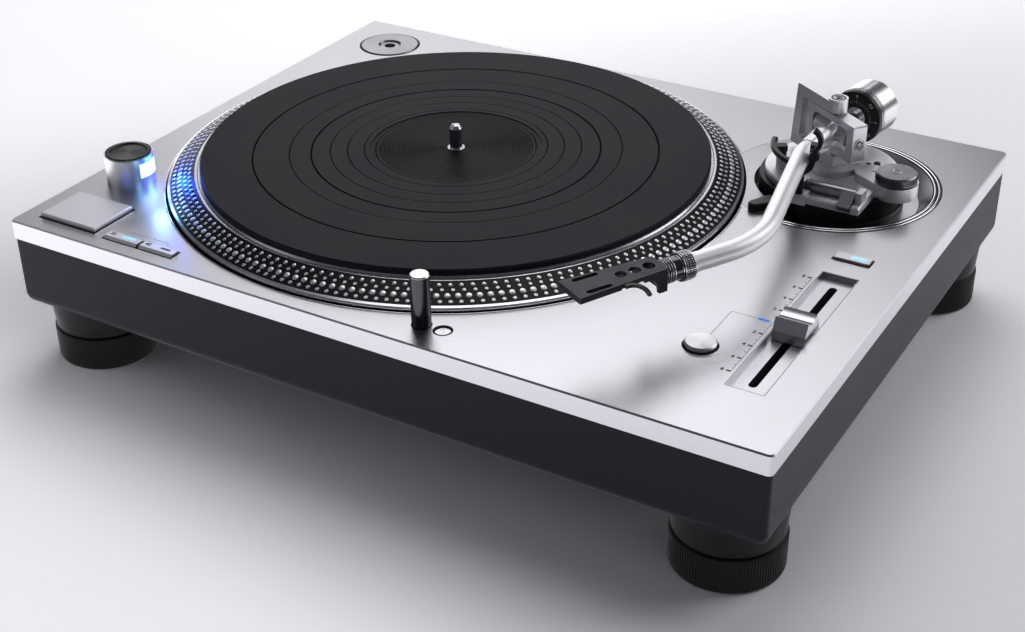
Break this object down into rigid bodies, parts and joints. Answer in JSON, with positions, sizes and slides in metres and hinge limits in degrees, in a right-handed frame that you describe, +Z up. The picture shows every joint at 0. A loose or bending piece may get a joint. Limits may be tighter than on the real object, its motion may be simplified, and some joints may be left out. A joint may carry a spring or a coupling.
{
  "type": "turntable",
  "caption": "Direct-drive record turntable with an S-shaped gimbal tonearm, strobe-dotted platter, pitch fader, pop-up light and height-adjustable feet.",
  "frame": {"origin": "middle of the base on the floor plane, under the centre of the top panel", "axes": "+X to the right along the long side seen from the front, +Y towards the rear, +Z up"},
  "size_m": [0.453, 0.353, 0.1408],
  "materials": {
    "satin_aluminium": "fine sand-blasted silver",
    "charcoal_case": "satin charcoal",
    "black_board": "matt black",
    "steel_parts": "bright steel",
    "brass_bearing": "turned brass",
    "board_green": "green circuit board",
    "supply_grey": "grey sheet-metal box",
    "platter_metal": "turned aluminium with a dark dotted band",
    "rubber_mat": "matt dark rubber",
    "magnet": "sintered dark magnet",
    "window_clear": "clear bluish plastic",
    "knob_metal": "spun aluminium",
    "arm_metal": "satin silver arm parts",
    "weight_metal": "polished weight",
    "black_metal": "black anodised"
  },
  "bodies": {
    "chassis": {"top_panel": "satin_aluminium", "cabinet": "charcoal_case", "bottom_cover": "black_board", "case_screws": "steel_parts", "foot_bosses": "charcoal_case", "bearing_housing": "brass_bearing", "stator_coils": "brass_bearing", "main_board": "board_green", "power_supply": "supply_grey", "rear_terminals": "black_board", "ac_inlet": "black_board", "strobe_housing": "black_board", "strobe_window": "window_clear", "strobe_lamp": "window_clear", "switch_board": "board_green", "pitch_fader_body": "black_board", "arm_well": "satin_aluminium"},
    "platter": {"platter": "platter_metal", "platter_mat": "rubber_mat", "spindle": "steel_parts", "rotor_magnet": "magnet"},
    "arm_base": {"arm_base": "arm_metal", "arm_bracket": "arm_metal", "pivot_screws": "steel_parts", "arm_rest": "black_board"},
    "gimbal": {"gimbal_ring": "arm_metal", "side_pivots": "steel_parts"},
    "tonearm": {"pivot_block": "arm_metal", "arm_tube": "arm_metal", "rear_shaft": "steel_parts"},
    "weight_carriage": {"weight_sleeve": "weight_metal"},
    "counterweight": {"counterweight": "weight_metal"},
    "pressure_dial": {"pressure_dial": "black_metal"},
    "headshell_lock_nut": {"headshell_lock_nut": "arm_metal"},
    "headshell": {"headshell": "black_metal", "finger_lift": "black_metal"},
    "power_knob": {"power_knob": "knob_metal"},
    "start_stop_button": {"start_stop_button": "knob_metal"},
    "speed_button_33": {"speed_button_33": "knob_metal"},
    "speed_button_45": {"speed_button_45": "knob_metal"},
    "pitch_reset_button": {"pitch_reset_button": "knob_metal"},
    "pitch_range_button": {"pitch_range_button": "knob_metal"},
    "target_light": {"target_light": "knob_metal"},
    "target_light_button": {"target_light_button": "knob_metal"},
    "pitch_slider": {"pitch_slider": "black_board"},
    "single_adaptor": {"single_adaptor": "knob_metal"},
    "height_ring": {"height_ring": "black_metal"},
    "height_lock_lever": {"height_lock_lever": "black_board"},
    "anti_skate_dial": {"anti_skate_dial": "black_metal"},
    "cue_lever": {"cue_lever": "arm_metal"},
    "cue_lift": {"cue_lift": "black_board"},
    "arm_clamp": {"arm_clamp": "black_board"},
    "foot_stud_front_left": {"foot_stud_front_left": "steel_parts"},
    "foot_front_left": {"foot_front_left": "black_metal"},
    "foot_stud_front_right": {"foot_stud_front_right": "steel_parts"},
    "foot_front_right": {"foot_front_right": "black_metal"},
    "foot_stud_rear_left": {"foot_stud_rear_left": "steel_parts"},
    "foot_rear_left": {"foot_rear_left": "black_metal"},
    "foot_stud_rear_right": {"foot_stud_rear_right": "steel_parts"},
    "foot_rear_right": {"foot_rear_right": "black_metal"}
  },
  "joints": [
    {"name": "platter_spin", "type": "hinge", "parent": "chassis", "child": "platter", "pos_m": [-0.0462, 0.0007, 0.09], "axis": [0, 0, -1], "continuous": true},
    {"name": "power_knob_turn", "type": "hinge", "parent": "chassis", "child": "power_knob", "pos_m": [-0.2013, -0.1046, 0.104], "axis": [0, 0, -1], "range_deg": [0, 35]},
    {"name": "start_stop_button_press", "type": "slide", "parent": "chassis", "child": "start_stop_button", "axis": [0, 0, -1], "range_m": [0, 0.0012], "stiffness_N_per_m": 150},
    {"name": "speed_button_33_press", "type": "slide", "parent": "chassis", "child": "speed_button_33", "axis": [0, 0, -1], "range_m": [0, 0.0012], "stiffness_N_per_m": 150},
    {"name": "speed_button_45_press", "type": "slide", "parent": "chassis", "child": "speed_button_45", "axis": [0, 0, -1], "range_m": [0, 0.0012], "stiffness_N_per_m": 150},
    {"name": "pitch_reset_button_press", "type": "slide", "parent": "chassis", "child": "pitch_reset_button", "axis": [0, 0, -1], "range_m": [0, 0.0012], "stiffness_N_per_m": 150},
    {"name": "pitch_range_button_press", "type": "slide", "parent": "chassis", "child": "pitch_range_button", "axis": [0, 0, -1], "range_m": [0, 0.0012], "stiffness_N_per_m": 150},
    {"name": "target_light_button_press", "type": "slide", "parent": "chassis", "child": "target_light_button", "axis": [0, 0, -1], "range_m": [0, 0.0012], "stiffness_N_per_m": 150},
    {"name": "target_light_lower", "type": "slide", "parent": "chassis", "child": "target_light", "axis": [0, 0, -1], "range_m": [0, 0.026]},
    {"name": "pitch_slide", "type": "slide", "parent": "chassis", "child": "pitch_slider", "axis": [0, 1, 0], "range_m": [-0.05, 0.05]},
    {"name": "single_adaptor_lift", "type": "slide", "parent": "chassis", "child": "single_adaptor", "axis": [0, 0, 1], "range_m": [0, 0.01]},
    {"name": "height_ring_turn", "type": "hinge", "parent": "chassis", "child": "height_ring", "pos_m": [0.15006, 0.08849, 0.086], "axis": [0, 0, 1], "range_deg": [0, 240]},
    {"name": "arm_height", "type": "slide", "parent": "chassis", "child": "arm_base", "axis": [0, 0, 1], "range_m": [0, 0.006]},
    {"name": "height_lock_turn", "type": "hinge", "parent": "chassis", "child": "height_lock_lever", "pos_m": [0.13169, 0.04414, 0.09], "axis": [0, 0, -1], "range_deg": [0, 40]},
    {"name": "anti_skate_turn", "type": "hinge", "parent": "arm_base", "child": "anti_skate_dial", "pos_m": [0.19006, 0.07989, 0.104], "axis": [0, 0, 1], "range_deg": [0, 270]},
    {"name": "cue_lever_turn", "type": "hinge", "parent": "arm_base", "child": "cue_lever", "pos_m": [0.16206, 0.05409, 0.1006], "axis": [-1, 0, 0], "range_deg": [0, 50]},
    {"name": "cue_lift_rise", "type": "slide", "parent": "arm_base", "child": "cue_lift", "axis": [0, 0, 1], "range_m": [0, 0.0032]},
    {"name": "arm_clamp_close", "type": "hinge", "parent": "arm_base", "child": "arm_clamp", "pos_m": [0.15486, 0.04561, 0.1248], "axis": [0.1977, -0.9803, 0], "range_deg": [0, 95]},
    {"name": "arm_swing", "type": "hinge", "parent": "arm_base", "child": "gimbal", "pos_m": [0.15006, 0.08849, 0.12], "axis": [0, 0, -1], "range_deg": [0, 43]},
    {"name": "arm_tilt", "type": "hinge", "parent": "gimbal", "child": "tonearm", "pos_m": [0.15006, 0.08849, 0.12], "axis": [-0.829, 0.5592, 0], "range_deg": [0, 9]},
    {"name": "weight_travel", "type": "slide", "parent": "tonearm", "child": "weight_carriage", "axis": [0.1444, 0.9895, 0], "range_m": [-0.005, 0.01]},
    {"name": "counterweight_turn", "type": "hinge", "parent": "weight_carriage", "child": "counterweight", "pos_m": [0.15526, 0.12411, 0.12], "axis": [0.1444, 0.9895, 0], "range_deg": [-360, 720]},
    {"name": "pressure_dial_turn", "type": "hinge", "parent": "weight_carriage", "child": "pressure_dial", "pos_m": [0.15367, 0.11323, 0.12], "axis": [0.1444, 0.9895, 0], "range_deg": [0, 330]},
    {"name": "headshell_nut_turn", "type": "hinge", "parent": "tonearm", "child": "headshell_lock_nut", "pos_m": [0.14187, -0.09707, 0.12], "axis": [-0.4863, -0.8738, 0], "range_deg": [0, 120]},
    {"name": "headshell_pull", "type": "slide", "parent": "tonearm", "child": "headshell", "axis": [-0.4863, -0.8738, 0], "range_m": [0, 0.02]},
    {"name": "foot_screw_front_left", "type": "slide", "parent": "chassis", "child": "foot_stud_front_left", "axis": [0, 0, -1], "range_m": [0, 0.005]},
    {"name": "foot_turn_front_left", "type": "hinge", "parent": "foot_stud_front_left", "child": "foot_front_left", "pos_m": [-0.196, -0.146, 0.01], "axis": [0, 0, 1], "range_deg": [0, 1440]},
    {"name": "foot_screw_front_right", "type": "slide", "parent": "chassis", "child": "foot_stud_front_right", "axis": [0, 0, -1], "range_m": [0, 0.005]},
    {"name": "foot_turn_front_right", "type": "hinge", "parent": "foot_stud_front_right", "child": "foot_front_right", "pos_m": [0.196, -0.146, 0.01], "axis": [0, 0, 1], "range_deg": [0, 1440]},
    {"name": "foot_screw_rear_left", "type": "slide", "parent": "chassis", "child": "foot_stud_rear_left", "axis": [0, 0, -1], "range_m": [0, 0.005]},
    {"name": "foot_turn_rear_left", "type": "hinge", "parent": "foot_stud_rear_left", "child": "foot_rear_left", "pos_m": [-0.196, 0.146, 0.01], "axis": [0, 0, 1], "range_deg": [0, 1440]},
    {"name": "foot_screw_rear_right", "type": "slide", "parent": "chassis", "child": "foot_stud_rear_right", "axis": [0, 0, -1], "range_m": [0, 0.005]},
    {"name": "foot_turn_rear_right", "type": "hinge", "parent": "foot_stud_rear_right", "child": "foot_rear_right", "pos_m": [0.196, 0.146, 0.01], "axis": [0, 0, 1], "range_deg": [0, 1440]}
  ],
  "couplings": [
    {"joint": "arm_height", "follows": "height_ring_turn", "m_per_rad": 0.0014323},
    {"joint": "cue_lever_turn", "follows": "cue_lift_rise", "rad_per_m": 272.7},
    {"joint": "weight_travel", "follows": "counterweight_turn", "m_per_rad": 0.00079577},
    {"joint": "foot_screw_front_left", "follows": "foot_turn_front_left", "m_per_rad": 0.00019894},
    {"joint": "foot_screw_front_right", "follows": "foot_turn_front_right", "m_per_rad": 0.00019894},
    {"joint": "foot_screw_rear_left", "follows": "foot_turn_rear_left", "m_per_rad": 0.00019894},
    {"joint": "foot_screw_rear_right", "follows": "foot_turn_rear_right", "m_per_rad": 0.00019894}
  ]
}
